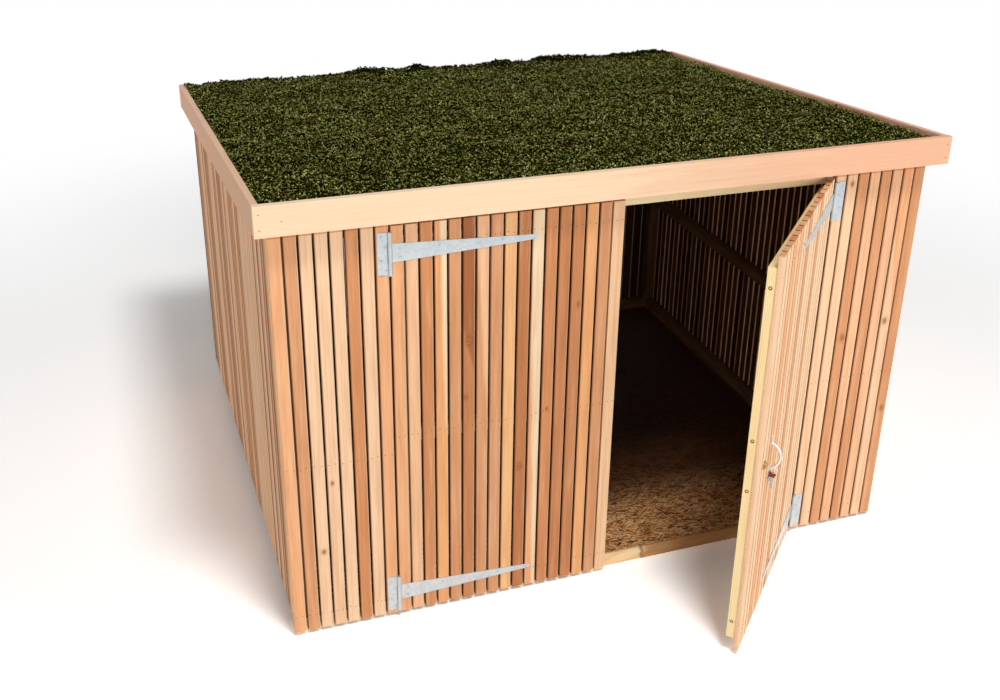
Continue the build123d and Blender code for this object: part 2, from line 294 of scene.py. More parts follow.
def cedar_row(
    name,
    start,
    face,
    side=False,
    tones=None,
    first=0,
    turn=None,
    two_toned=(),
    knots=(),
    planed=(),
    # The next two are the shares of a painted highlight on one eased edge and of painted shade on
    # the other.
    edge_highlight=0.6,
    brown=0.8,
    # Tint of the darkened sides and back: painted shade of the gaps and the inside, over a little
    # rough-sawn darkening.
    saw_shade_tint=(0.12, 0.08, 0.06, 1),
    seed=0.0,
):
    """A row of cedar slats. The board's number is its distance along the wall over the pitch,
    rounded down; each number has its own grain and a tone from the list, or one drawn by chance
    where no list is given. Named boards turn to another tone above a sloping, wandering border,
    and named places have a knot, dark at its core and rim, that the grain swells round. One eased
    edge gets a painted highlight and the other painted shade, set by the side the light comes from.
    Sides and back are darker, in part for rough-sawn wood and mostly as painted shade of the gaps
    and the inside; the boards listed as unshaded have neither this nor the edge shade, and a side
    wall is darkened only at its inner face. Sawn ends show deeper end grain."""
    streak_tint, late_tint, fibre_tint = (
        (0.66, 0.48, 0.36, 1), (0.72, 0.52, 0.38, 1), (0.62, 0.45, 0.34, 1)
    )
    knot_tint, end_tint, edge_shade_tint = (
        (0.6, 0.4, 0.28, 1), (0.78, 0.60, 0.46, 1), (0.36, 0.26, 0.2, 1)
    )
    wood = Finish(name, gloss=0.04 if side else 0.22)
    axes = wood.axes(turn)
    across, deep = (axes[1], axes[0]) if side else (axes[0], axes[1])
    run = wood.sum("DIVIDE", wood.sum("SUBTRACT", across, start), slat_pitch)
    number = wood.sum("FLOOR", run)
    within = wood.sum("MULTIPLY", wood.sum("FRACT", run), slat_pitch)
    depth = wood.sum("ABSOLUTE", wood.sum("SUBTRACT", deep, face))
    board = wood.sum("MULTIPLY_ADD", number, board_step, seed)

    nearest, swell = 9.0, 0.0
    for slat, height, radius, aside_share in knots:
        middle = start + slat * slat_pitch + slat_wide * aside_share
        aside = wood.sum("DIVIDE", wood.sum("SUBTRACT", across, middle), radius)
        above = wood.sum("DIVIDE", wood.sum("SUBTRACT", axes[2], height), 1.5 * radius)
        square = wood.sum("MULTIPLY_ADD", aside, aside, wood.sum("MULTIPLY", above, above))
        nearest = wood.sum("MINIMUM", wood.sum("SQRT", square), nearest)
    if knots:
        swell = wood.sum("MULTIPLY", wood.fade(nearest, 4.0, 0.8), 0.014)
    late, fibre, mottle = sawn_grain(wood, within, depth, axes[2], board, ring=0.0062, swell=swell)

    if tones:
        count = len(tones)
        share = wood.sum("DIVIDE", wood.sum("ADD", number, 0.5 - first), count)
        stops = [(i / count, cedar_tones[each]) for i, each in enumerate(tones)]
        tone = wood.ramp(share, stops, "CONSTANT")
    else:
        drawn = "cream umber gold chestnut peach russet gold".split()
        stops = [(i / len(drawn), cedar_tones[each]) for i, each in enumerate(drawn)]
        tone = wood.ramp(wood.chance(board)[0], stops, "CONSTANT")

    for slat, border, slope, upper_tone in two_toned:
        here = wood.sum("COMPARE", number, float(slat), 0.5)
        drop = wood.sum("MULTIPLY_ADD", axes[2], -slope, slope * border + 0.25)
        edge_line = wood.sum("MULTIPLY_ADD", mottle, 0.5, drop)
        side_share = wood.sum("SUBTRACT", wood.sum("DIVIDE", within, slat_wide), edge_line)
        beyond = wood.sum("MULTIPLY", here, wood.fade(side_share, -0.2, 0.22))
        tone = wood.mix(beyond, tone, cedar_tones[upper_tone])

    streak = wood.fade(mottle, 0.42, 0.72)
    colour = wood.mix(wood.sum("MULTIPLY", streak, 0.32), tone, streak_tint, "MULTIPLY")
    pale = wood.fade(mottle, 0.45, 0.25)
    colour = wood.mix(wood.sum("MULTIPLY", pale, 0.3), colour, paint(255, 220, 182))
    colour = wood.mix(wood.sum("MULTIPLY", late, 0.15), colour, late_tint, "MULTIPLY")
    fibre_share = wood.sum("MULTIPLY", wood.fade(fibre, 0.48, 0.8), 0.36)
    colour = wood.mix(fibre_share, colour, fibre_tint, "MULTIPLY")
    if knots:
        ragged = wood.sum("MULTIPLY_ADD", fibre, 0.7, wood.sum("SUBTRACT", nearest, 0.35))
        stops = [
            (0.0, paint(128, 76, 44)),
            (0.1, paint(160, 100, 60)),
            (0.19, paint(200, 138, 90)),
            (0.26, paint(96, 52, 28)),
        ]
        stain = wood.sum("MULTIPLY", wood.fade(nearest, 3.0, 0.9), 0.3)
        colour = wood.mix(stain, colour, knot_tint, "MULTIPLY")
        knot = wood.ramp(wood.sum("DIVIDE", ragged, 4.0), stops)
        colour = wood.mix(wood.sum("MULTIPLY", wood.fade(ragged, 1.25, 0.85), 0.8), colour, knot)
    # Eased edges: a painted highlight on the edge facing the light and painted shade on the edge
    # turned from it.
    lit_edge = wood.fade(within, *(side_lit_edge if side else front_lit_edge))
    shaded_edge = wood.fade(within, *(side_shaded_edge if side else front_shaded_edge))
    # Sides and back darken with depth: mostly painted shade of the gaps and the inside, a little
    # for rough-sawn wood.
    sawn_shade = wood.fade(depth, *(side_sawn_shade if side else front_sawn_shade))
    colour = wood.mix(wood.sum("MULTIPLY", lit_edge, edge_highlight), colour, paint(255, 236, 204))
    above_end = wood.sum("GREATER_THAN", axes[2], slat_end)
    sawn_shade = wood.sum("MULTIPLY", sawn_shade, wood.sum("SUBTRACT", 1.0, above_end))
    colour = wood.mix(above_end, colour, end_tint, "MULTIPLY")
    # Boards listed here get no painted shade on sides, back or shaded edge.
    for slat in planed:
        elsewhere = wood.sum("SUBTRACT", 1.0, wood.sum("COMPARE", number, float(slat), 0.5))
        sawn_shade = wood.sum("MULTIPLY", sawn_shade, elsewhere)
        shaded_edge = wood.sum("MULTIPLY", shaded_edge, elsewhere)
    colour = wood.mix(wood.sum("MULTIPLY", shaded_edge, brown), colour, edge_shade_tint, "MULTIPLY")
    colour = wood.mix(sawn_shade, colour, saw_shade_tint, "MULTIPLY")
    rough = wood.sum("MULTIPLY_ADD", fibre, 0.3, 0.48)
    wood.finish(colour, rough, wood.sum("MULTIPLY_ADD", late, 0.6, fibre), 0.25)
    return wood


left_panel = "apricot tan cream cream cream brown cream apricot".split()
right_panel = "cream cream tan peach tan peach cream tan".split()
right_first = front_slats - panel_slats
cedar_row(
    "cedar_left_panel",
    front_start,
    front_face,
    tones=left_panel,
    knots=[(2, 0.31, 0.006, 0.55), (3, 0.56, 0.005, 0.4)],
    planed=[0],
).dress("left_panel_slats")
cedar_row(
    "cedar_right_panel",
    front_start,
    front_face,
    tones=right_panel,
    first=right_first,
    two_toned=[(48, 1.0, 3.0, "apricot")],
    knots=[
        (43, 1.36, 0.006, 0.5),
        (44, 0.79, 0.008, 0.6),
        (48, 0.83, 0.008, 0.4),
        (49, 0.47, 0.007, 0.5),
    ],
    planed=[49],
    brown=0.4,
    saw_shade_tint=(0.36, 0.2, 0.11, 1),
    seed=4.0,
).dress("right_panel_slats")
cedar_row(
    "cedar_left_wall", side_start, side_face, side=True, edge_highlight=0.6, brown=1.0, seed=11.0
).dress("left_wall_slats")
cedar_row(
    "cedar_right_wall", side_start, -side_face, side=True, edge_highlight=0.2, brown=0.95, seed=23.0
).dress("right_wall_slats")
cedar_row("cedar_back_wall", front_start, back_face, seed=37.0).dress("back_wall_slats")


# Nails of the fixed walls: two small steel wire nails through each slat into every rail,
# driven just about flush, so that only their dull dark heads show.
nail_radius, nail_proud = 0.0015, 0.0005
nail_stray = 0.0035
nail_inset = 0.009
rail_heights = (0.0725, 0.628)
front_top_rail, back_top_rail = 1.424, 1.215
cross_arm_share, cross_reach_share = 0.16, 0.62


def studs(name, places, out, radii, heights, sides, finish, body, slot, cross=0.0):
    """Round heads, one at each place. The surface has two parameters, the angle round the head and
    the step along its profile of radii and heights above the face. A cross is pressed into the
    middle where a point lies near either of two lines through the head's axis."""
    places = np.asarray(places, float).reshape(-1, 3)
    out = np.broadcast_to(np.asarray(out, float), places.shape)
    helper = np.where(np.abs(out[:, 2:3]) < 0.9, (0.0, 0.0, 1.0), (1.0, 0.0, 0.0))
    right = np.cross(helper, out)
    right /= np.linalg.norm(right, axis=1, keepdims=True)
    up = np.cross(out, right)
    angle = np.arange(sides) * 2 * math.pi / sides
    radii, heights = np.asarray(radii, float), np.asarray(heights, float)
    flat_x = radii[:, None] * np.cos(angle)
    flat_y = radii[:, None] * np.sin(angle)
    rise = np.broadcast_to(heights[:, None], flat_x.shape).copy()
    if cross:
        near = np.minimum(np.abs(flat_x), np.abs(flat_y)) < cross_arm_share * radii[0]
        inner = radii[:, None] < cross_reach_share * radii[0]
        rise -= cross * (near & inner)
    rings = len(radii)
    points = (
        places[:, None, None, :]
        + flat_x[None, :, :, None] * right[:, None, None, :]
        + flat_y[None, :, :, None] * up[:, None, None, :]
        + rise[None, :, :, None] * out[:, None, None, :]
    )
    tops = places + (heights[-1] - cross) * out
    points = np.concatenate([points.reshape(len(places), -1, 3), tops[:, None, :]], axis=1)
    each = rings * sides + 1
    ring, turn = np.meshgrid(np.arange(rings - 1), np.arange(sides), indexing="ij")
    ahead = (turn + 1) % sides
    this, following = ring * sides, (ring + 1) * sides
    quads = np.stack([this + turn, this + ahead, following + ahead, following + turn], -1)
    quads = quads.reshape(-1, 4)
    last = (rings - 1) * sides
    around = np.arange(sides)
    caps = np.stack([last + around, last + (around + 1) % sides, np.full(sides, each - 1)], -1)
    shift = np.arange(len(places)) * each
    faces = (quads[None] + shift[:, None, None]).reshape(-1, 4).tolist()
    faces += (caps[None] + shift[:, None, None]).reshape(-1, 3).tolist()
    return piece(name, points.reshape(-1, 3), faces, finish, body)


def piece(name, points, faces, finish, body, smooth=True):
    """A new piece from its points and faces, finished and riding on its body."""
    mesh = bpy.data.meshes.new(name)
    mesh.from_pydata(np.asarray(points).tolist(), [], faces)
    mesh.polygons.foreach_set("use_smooth", np.full(len(mesh.polygons), smooth))
    mesh.materials.append(finish.material)
    mesh.update()
    thing = bpy.data.objects.new(name, mesh)
    bpy.context.scene.collection.objects.link(thing)
    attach(thing, body)
    return thing


def nails(name, across, heights, face, out, body, turned=None):
    """Pairs of nails on every slat: each slat's edges less an inset, at each height, and a little
    astray."""
    pair = np.concatenate([across + nail_inset, across + slat_wide - nail_inset])
    along, up = np.meshgrid(pair, heights, indexing="ij")
    rng = np.random.default_rng(len(name))
    along = along + rng.uniform(-nail_stray, nail_stray, along.shape)
    up = up + rng.uniform(-nail_stray, nail_stray, up.shape)
    if out[1]:
        places = np.stack([along, np.full_like(along, face), up], -1).reshape(-1, 3)
    else:
        places = np.stack([np.full_like(along, face), along, up], -1).reshape(-1, 3)
    if turned:
        places, out = turned(places), turned(np.asarray(out, float), False)
    radii = nail_radius * np.array((1.0, 1.0, 0.7))
    profile = nail_proud * np.array((-1.0, 0.5, 1.0))
    return studs(name, places, out, radii, profile, 8, nail_steel, body, "galvanised")


nail_steel = Finish("nail_steel", roughness=0.55, metallic=0.6)
speck = nail_steel.cloud(nail_steel.put("TexCoord", {}).outputs["Object"], 0.002)
nail_steel.finish(nail_steel.mix(speck, paint(78, 50, 34), paint(122, 86, 62)))
panel_numbers = np.concatenate([np.arange(panel_slats), np.arange(right_first, front_slats)])
panel_across = front_start + slat_pitch * panel_numbers
panel_heights = (*rail_heights, front_top_rail)
nails("panel_nails", panel_across, panel_heights, front_face, (0, -1, 0), "shelter")
side_across = side_start + slat_pitch * np.arange(side_slats)
nails("left_wall_nails", side_across, rail_heights, side_face, (-1, 0, 0), "shelter")
nails("right_wall_nails", side_across, rail_heights, -side_face, (1, 0, 0), "shelter")
back_across = front_start + slat_pitch * np.arange(front_slats)
back_heights = (*rail_heights, back_top_rail)
nails("back_wall_nails", back_across, back_heights, back_face, (0, 1, 0), "shelter")


# Roof frame: three softwood rafters from the header to the back wall under a strand board deck
# that falls to the back.
sawn_y.dress("rafters")
strand_board("deck_strand_board").dress("roof_deck")


# Fascias: wide planed cedar boards nailed round the edge of the deck, the front one running
# past the side ones. The front board goes from sapwood cream at the left to pink at the right.
def fascia_wood(name, along, left, right, late_tone, seed):
    """A wide flat-sawn board: the tone goes from one to the other along it, with a wandering
    border, and the rings lie close to the face, so that they show as long arches."""
    fibre_tint = (0.72, 0.56, 0.44, 1)
    wood = Finish(name, gloss=0.22)
    axes = wood.axes()
    deep = axes[1 - along]
    late, fibre, mottle = sawn_grain(wood, axes[2], deep, axes[along], seed, ring=0.011, lean=0.03)
    drift = wood.sum("MULTIPLY_ADD", mottle, 0.9, axes[along])
    tone = wood.mix(wood.fade(drift, 0.1, 1.3), left, right)
    tone = wood.mix(wood.sum("MULTIPLY", wood.fade(mottle, 0.45, 0.75), 0.22), tone, late_tone)
    colour = wood.mix(wood.sum("MULTIPLY", late, 0.08), tone, late_tone)
    fibre_share = wood.sum("MULTIPLY", wood.fade(fibre, 0.5, 0.85), 0.3)
    colour = wood.mix(fibre_share, colour, fibre_tint, "MULTIPLY")
    rough = wood.sum("MULTIPLY_ADD", fibre, 0.3, 0.46)
    wood.finish(colour, rough, wood.sum("MULTIPLY_ADD", late, 0.6, fibre), 0.2)
    return wood


cream_board, pink_board = paint(247, 217, 181), paint(239, 185, 151)
dull_board = paint(226, 180, 142)
front_late, other_late = paint(240, 186, 136), paint(226, 164, 122)
for node, along, left, right, late_tone, seed in (
    ("front_fascia", 0, cream_board, pink_board, front_late, 5.3),
    ("left_fascia", 1, dull_board, pink_board, other_late, 8.1),
    ("right_fascia", 1, pink_board, pink_board, other_late, 2.9),
    ("back_edge", 0, pink_board, cream_board, other_late, 3.7),
):
    fascia_wood("cedar_" + node, along, left, right, late_tone, seed).dress(node)
fascia_face = -1.023
fascia_nail_spots = [(-1.122, 1.485), (-1.122, 1.44), (-1.06, 1.46), (1.122, 1.485), (1.122, 1.44)]
studs(
    "fascia_nails",
    [(x, fascia_face, z) for x, z in fascia_nail_spots],
    (0, -1, 0),
    nail_radius * np.array((1.2, 1.2, 0.8)),
    nail_proud * np.array((-1.0, 0.5, 1.0)),
    8,
    nail_steel,
    "shelter",
    "galvanised",
)


# Planted mat: sedum rooted in a thin layer of soil, rolled out on the deck between the fascias.
# It is a low uneven cushion of fleshy leaves, ragged along the back where nothing stops it.
mat_half, mat_front, mat_back = 1.117, -1.003, 0.983
fascia_top, roof_front, roof_fall = 1.510, -1.023, 0.08835
mat_below, deck_below = 0.016, 0.045
turf_step = 0.0095
sprig_step, fringe_step, fringe_wide = 0.0088, 0.0055, 0.024
broad_swell, small_swell, clump_rise = 0.010, 0.009, 0.015
edge_wide, edge_sink = 0.07, 0.022
leaf_short, leaf_long = 0.0038, 0.007
leaves_each = 5


def lumps(x, y, size, seed):
    """Smooth random heights from 0 to 1: random values on a lattice one size apart, blended
    between by an S curve both ways."""
    cells = 97
    lattice = np.random.default_rng(seed).random((cells, cells))
    u, v = (np.asarray(x) + 3) / size, (np.asarray(y) + 3) / size
    i, j = np.floor(u).astype(int), np.floor(v).astype(int)
    s, t = u - i, v - j
    s, t = s * s * (3 - 2 * s), t * t * (3 - 2 * t)
    i, j, k, m = i % cells, j % cells, (i + 1) % cells, (j + 1) % cells
    near = lattice[i, j] * (1 - s) + lattice[k, j] * s
    far = lattice[i, m] * (1 - s) + lattice[k, m] * s
    return near * (1 - t) + far * t


def roof_line(y):
    """Height of the tops of the side fascias at y: a straight fall from front to back."""
    return fascia_top - roof_fall * (y - roof_front)


def back_clumps(x, y):
    """Share of a dark clump at a place, 0 to 1: uneven lumps, only along the back edge."""
    back_edge = np.clip((y - (mat_back - edge_wide)) / 0.04, 0, 1)
    uneven = (lumps(x, y, 0.12, 8) - 0.5) * 2.4 * (0.5 + lumps(x, y, 0.03, 9))
    return np.clip(back_edge * uneven, 0, 1)


def turf(x, y):
    """Height of the mat: the roof line less a drop, with broad and small swellings. It sinks
    beside the right fascia and rises in clumps along the back."""
    swelling = broad_swell * lumps(x, y, 0.16, 3) + small_swell * lumps(x, y, 0.045, 5)
    right_edge = np.clip((x - (mat_half - edge_wide)) / edge_wide, 0, 1)
    shaped = clump_rise * back_clumps(x, y) - edge_sink * right_edge**2
    return roof_line(y) - mat_below + swelling + shaped


columns = int(2 * mat_half / turf_step)
rows = int((mat_back - mat_front) / turf_step)
x = np.linspace(-mat_half, mat_half, columns)
y = np.linspace(mat_front, mat_back, rows)
x, y = np.pad(x, 1, mode="edge"), np.pad(y, 1, mode="edge")
gx, gy = np.meshgrid(x, y)
gz = turf(gx, gy)
rim = np.ones_like(gz, bool)
rim[1:-1, 1:-1] = False
gz[rim] = roof_line(gy[rim]) - deck_below
wide, long = columns + 2, rows + 2
row, column = np.meshgrid(np.arange(long - 1), np.arange(wide - 1), indexing="ij")
corner = row * wide + column
quads = np.stack([corner, corner + 1, corner + wide + 1, corner + wide], -1).reshape(-1, 4).tolist()
count = wide * long
under = np.concatenate(
    [
        np.arange(0, count - wide, wide),
        np.arange(count - wide, count - 1),
        np.arange(count - 1, wide - 1, -wide),
        np.arange(wide - 1, 0, -1),
    ]
).tolist()

soil = Finish("sedum_turf", roughness=0.95, gloss=0.0)
point = soil.put("TexCoord", {}).outputs["Object"]
grainy = soil.cloud(point, 0.006, 1.0, 4.0)
soil_stops = [
    (0.3, paint(12, 12, 1)),
    (0.5, paint(24, 24, 4)),
    (0.68, paint(44, 44, 10)),
    (0.85, paint(66, 48, 22)),
]
soil.finish(soil.ramp(grainy, soil_stops), None, grainy, strength=0.8, distance=0.004)
turf_points = np.stack([gx, gy, gz], -1).reshape(-1, 3)
mat = piece("sedum_turf", turf_points, quads + [under], soil, "shelter")
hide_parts("sedum_mat")

leaf = Finish("sedum_leaf", roughness=0.8, gloss=0.0)
tone = leaf.put("Attribute", {}, attribute_name="leaf_tone").outputs["Fac"]
leaf_point = leaf.put("TexCoord", {}).outputs["Object"]
patch = leaf.cloud(leaf_point, 0.07, 2.0, 3.0)
shaded = leaf.fade(leaf.cloud(leaf_point, 0.35, 5.0, 2.0), 0.62, 0.38)
leaf_stops = [
    (0.0, paint(16, 16, 0)),
    (0.35, paint(60, 62, 7)),
    (0.65, paint(174, 178, 84)),
    (0.95, paint(255, 255, 196)),
]
shade_tint = (0.55, 0.58, 0.5, 1)
russet_patch = leaf.sum("MULTIPLY", leaf.fade(patch, 0.56, 0.68), 0.6)
leaf_colour = leaf.mix(russet_patch, leaf.ramp(tone, leaf_stops), paint(92, 46, 36))
shaded = leaf.sum("MULTIPLY", shaded, 0.35)
leaf.finish(leaf.mix(shaded, leaf_colour, shade_tint, "MULTIPLY"))


def sprigs(name, low, high, seed, step=sprig_step, size=1.0, bright=1.0):
    """Rosettes of leaves on the turf. Each stands on a jittered lattice; a leaf is a folded
    diamond from the rosette's middle, turned round it, tilted up and as long as chance gives."""
    rng = np.random.default_rng(seed)
    sx, sy = np.meshgrid(np.arange(-mat_half, mat_half, step), np.arange(low, high, step))
    sx, sy = sx.ravel(), sy.ravel()
    number = len(sx)
    sx = np.clip(sx + rng.uniform(-0.5, 0.5, number) * step, -mat_half + 0.003, mat_half - 0.003)
    sy = np.clip(sy + rng.uniform(-0.5, 0.5, number) * step, mat_front + 0.003, mat_back - 0.001)
    base = turf(sx, sy) + rng.uniform(-0.006, 0.007, number)
    spread = np.arange(leaves_each) * 2 * math.pi / leaves_each
    spin = rng.uniform(0, 2 * math.pi, number)[:, None] + spread
    spin = spin + rng.uniform(-0.3, 0.3, spin.shape)
    tilt = rng.uniform(0.4, 1.35, spin.shape)
    length = size * rng.uniform(leaf_short, leaf_long, spin.shape)
    length = length * rng.uniform(0.7, 1.5, number)[:, None]
    width = 0.5 * length
    flat, rise = length * np.cos(tilt), length * np.sin(tilt)
    ahead = np.stack([np.cos(spin), np.sin(spin)], -1)
    aside = np.stack([-np.sin(spin), np.cos(spin)], -1)
    foot = np.zeros((*spin.shape, 3))
    tip = np.concatenate([ahead * flat[..., None], rise[..., None]], -1)
    belly = np.concatenate([ahead * 0.55 * flat[..., None], 0.68 * rise[..., None]], -1)
    wing = np.concatenate([aside * 0.5 * width[..., None], np.zeros((*spin.shape, 1))], -1)
    shape = np.stack([foot, belly - wing, tip, belly + wing], -2)
    points = shape + np.stack([sx, sy, base], -1)[:, None, None, :]
    faces = np.arange(number * leaves_each * 4).reshape(-1, 4).tolist()
    plants = piece(name, points.reshape(-1, 3), faces, leaf, "shelter", smooth=False)
    shade = 0.5 * rng.beta(0.6, 0.7, number)[:, None] + 0.5 * rng.beta(0.5, 0.6, spin.shape)
    shade = bright * shade * (1 - 0.6 * back_clumps(sx, sy))[:, None]
    # Each leaf is darkest at its foot and brightest at its tip: painted shade low in the rosette
    # and a painted highlight on the tip.
    shade = shade[..., None] * np.array((0.2, 0.8, 1.4, 0.8))
    tones = plants.data.attributes.new("leaf_tone", "FLOAT", "POINT")
    tones.data.foreach_set("value", np.clip(shade, 0, 1).ravel().astype(np.float32))
    return plants


strips = np.linspace(mat_front, mat_back, 5)
for strip in range(4):
    sprigs(f"sedum_leaves_{strip + 1}", strips[strip], strips[strip + 1], 40 + strip)
fringe_front = mat_back - fringe_wide
sprigs("sedum_fringe", fringe_front, mat_back, 47, step=fringe_step, size=1.7, bright=0.5)


# Tee hinges: a plate on the wall and a long tapered strap on the door, cut from steel sheet,
# rolled round a pin and hot-dip galvanised, so that the zinc shows a fine spangle.
def dipped_zinc(name, pale, dull):
    """Zinc spangle: small cells, each a shade lighter or darker, over a cloudy dulling."""
    zinc = Finish(name, metallic=0.55, gloss=0.5)
    point = zinc.put("TexCoord", {}).outputs["Object"]
    cell = zinc.put("TexVoronoi", {"Vector": point, "Scale": 150.0}).outputs["Color"]
    spangle = zinc.put("SeparateColor", {0: cell}).outputs[0]
    cloudy = zinc.cloud(point, 0.03, 3.0, 4.0)
    dulling = zinc.sum("MULTIPLY", zinc.fade(cloudy, 0.4, 0.8), 0.4)
    colour = zinc.mix(zinc.sum("MULTIPLY_ADD", spangle, 0.35, dulling), pale, dull)
    rough = zinc.sum("MULTIPLY_ADD", spangle, 0.15, 0.38)
    zinc.finish(colour, rough, spangle, 0.06)
    return zinc


galvanised = dipped_zinc("galvanised_steel", paint(200, 206, 208), paint(168, 177, 181))
galvanised.dress("left_hinge_leaves", "right_hinge_leaves", "left_hinge_pins", "right_hinge_pins")
galvanised.dress("left_door_straps", "right_door_straps")
hinge_heights = (0.094, 1.307)
hinge_x, hinge_y = 0.748, -0.975
plate_face = -0.970
screw_radius = 0.0042
screw_radii = screw_radius * np.array((1.0, 1.0, 0.86, 0.6, 0.4, 0.2))
screw_rise = np.array((-0.0004, 0.0004, 0.0010, 0.0014, 0.0015, 0.0015))
screw_sides, cross_deep = 16, 0.0008
leaf_screws = [(-0.026, 0.052), (-0.014, 0.020), (-0.026, -0.020), (-0.014, -0.052)]
strap_screws = [
    (0.030, 0.014),
    (0.030, -0.014),
    (0.150, 0.010),
    (0.245, -0.006),
    (0.345, 0.004),
    (0.447, 0.0),
]
zinc_screw = dipped_zinc("screw_zinc", paint(192, 198, 202), paint(146, 154, 160))


def screws(name, places, out, body, finish=zinc_screw, size=1.0):
    """Crossed screw heads, a share of the common size."""
    shape = size * screw_radii, screw_rise, screw_sides
    return studs(name, places, out, *shape, finish, body, "galvanised", cross=cross_deep)


leaf_places = [
    (side * (hinge_x - across), plate_face, height + up)
    for side in (-1, 1)
    for height in hinge_heights
    for across, up in leaf_screws
]
screws("hinge_leaf_screws", leaf_places, (0, -1, 0), "shelter")


# Left door: a softwood frame of two stiles and three rails behind seventeen cedar slats, hung on
# its straps. The last slat at the meeting edge is a pinker board.
softwood("left_stile_softwood", 2).dress("left_door_stiles")
softwood("left_rail_softwood", 0).dress("left_door_rails")
left_door = (
    "apricot peach brown honey tan russet tan tan gold"
    " umber apricot brown russet russet honey tan pink"
).split()
cedar_row(
    "cedar_left_door",
    front_start,
    front_face,
    tones=left_door,
    first=panel_slats,
    two_toned=[
        (11, 1.307, 0.6, "sapwood"),
        (13, 0.95, 6.0, "chestnut"),
        (14, 0.98, 1.6, "peach"),
        (18, 0.39, 0.6, "sapwood"),
    ],
    knots=[
        (13, 0.985, 0.008, 0.45),
        (13, 0.79, 0.005, 0.2),
        (17, 0.5, 0.007, 0.4),
        (21, 1.06, 0.005, 0.7),
        (19, 0.70, 0.004, 0.5),
    ],
    planed=[24],
    seed=7.0,
).dress("left_door_slats")
door_nail_heights = (0.0825, 0.688, 1.328)
left_across = front_start + slat_pitch * np.arange(panel_slats, panel_slats + door_slats)
nails("left_door_nails", left_across, door_nail_heights, front_face, (0, -1, 0), "left_door")
strap_places = np.array(
    [
        (-hinge_x + across, plate_face, height + up)
        for height in hinge_heights
        for across, up in strap_screws
    ]
)
screws("left_strap_screws", strap_places, (0, -1, 0), "left_door")


# Right door: the left one's mirror, standing open. The free edge of its frame shows the round
# heads of the screws that hold the stile to the rails.
open_angle = math.radians(46.4)
open_cos, open_sin = math.cos(open_angle), math.sin(open_angle)
open_turn = np.array(((open_cos, -open_sin, 0), (open_sin, open_cos, 0), (0, 0, 1)))
hinge_pin = np.array((hinge_x, hinge_y, 0.0))


def swing(points, shift=True):
    """Turns places on the closed door about the hinge pin to where the door stands open."""
    pin = hinge_pin * shift
    return (np.asarray(points, float) - pin) @ open_turn.T + pin


close = (-open_angle, tuple(hinge_pin - open_turn.T @ hinge_pin))
door_start = panel_slats + door_slats
right_door = (
    "cream sapwood cream apricot cream apricot sapwood cream tan"
    " sapwood sapwood cream tan sapwood sapwood cream sapwood"
).split()
cedar_row(
    "cedar_right_door",
    front_start,
    front_face,
    tones=right_door,
    first=door_start,
    turn=close,
    planed=[door_start],
    edge_highlight=0.4,
    brown=0.75,
    saw_shade_tint=(0.16, 0.09, 0.06, 1),
    seed=51.0,
).dress("right_door_slats")
stile_tones = paint(255, 232, 178), paint(255, 222, 162)
softwood("right_stile_softwood", 2, *stile_tones).dress("right_door_stiles")
softwood("right_rail_softwood", 0).dress("right_door_rails")
right_across = front_start + slat_pitch * np.arange(door_start, right_first)
nails(
    "right_door_nails", right_across, door_nail_heights, front_face, (0, -1, 0), "right_door", swing
)
mirrored = strap_places * np.array((-1, 1, 1))
screws("right_strap_screws", swing(mirrored), swing((0, -1, 0), False), "right_door")
stile_edge, stile_middle = 0.007, -0.936
edge_heights = (0.122, 0.615, 0.791, 1.288)
edge_places = swing([(stile_edge, stile_middle, height) for height in edge_heights])
edge_out = swing((-1, 0, 0), False)
sink_shade_radius, sink_shade_proud = 0.0062, 0.0002
# Dark flat discs under the screw heads: painted shade of the countersunk holes round them.
studs(
    "stile_sink_shades",
    edge_places,
    edge_out,
    sink_shade_radius * np.array((1.0, 1.0, 0.6)),
    sink_shade_proud * np.array((-1.0, 1.0, 1.0)),
    screw_sides,
    nail_steel,
    "right_door",
    "softwood",
)
gold_screw = dipped_zinc("screw_gold", paint(226, 196, 132), paint(176, 140, 84))
screws("stile_screws", edge_places, edge_out, "right_door", gold_screw, 0.85)


# Handle and lock on the right door: a bright zinc bow that ends in flat pads, and a round brass
# lock with a raised plug.
bright = Finish("bright_zinc", metallic=0.7, roughness=0.28, gloss=0.5)
rubbed = bright.cloud(bright.put("TexCoord", {}).outputs["Object"], 0.006, 1.0, 3.0)
bright.finish(
    bright.mix(bright.fade(rubbed, 0.4, 0.7), paint(240, 240, 238), paint(206, 206, 206)),
    bright.sum("MULTIPLY_ADD", rubbed, 0.25, 0.18),
)
bright.dress("pull_handle")
brass = Finish("lock_brass", metallic=0.9, roughness=0.35, gloss=0.5)
handled = brass.cloud(brass.put("TexCoord", {}).outputs["Object"], 0.004, 1.0, 3.0)
brass.finish(
    brass.mix(brass.fade(handled, 0.35, 0.7), paint(206, 168, 100), paint(150, 112, 58)),
    brass.sum("MULTIPLY_ADD", handled, 0.3, 0.22),
)
brass.dress("lock")


# Key and tag: a steel split ring hangs from the foot of the bow, with a brown leather tag and the
# key for the lock on it.
bow_x, ring_y, ring_z, ring_radius, wire = 0.154, -0.986, 0.6205, 0.0095, 0.0009
ring_lift, hung_apart = 0.0055, 0.003
tag_wide, tag_tall, tag_corner, tag_thick, tag_lean = 0.024, 0.030, 0.005, 0.0022, 0.5
key_bow, key_bow_corner, key_thick, key_lean = 0.018, 0.0085, 0.002, -0.2
blade_wide, blade_long, blade_corner, blade_drop = 0.006, 0.026, 0.002, 0.017


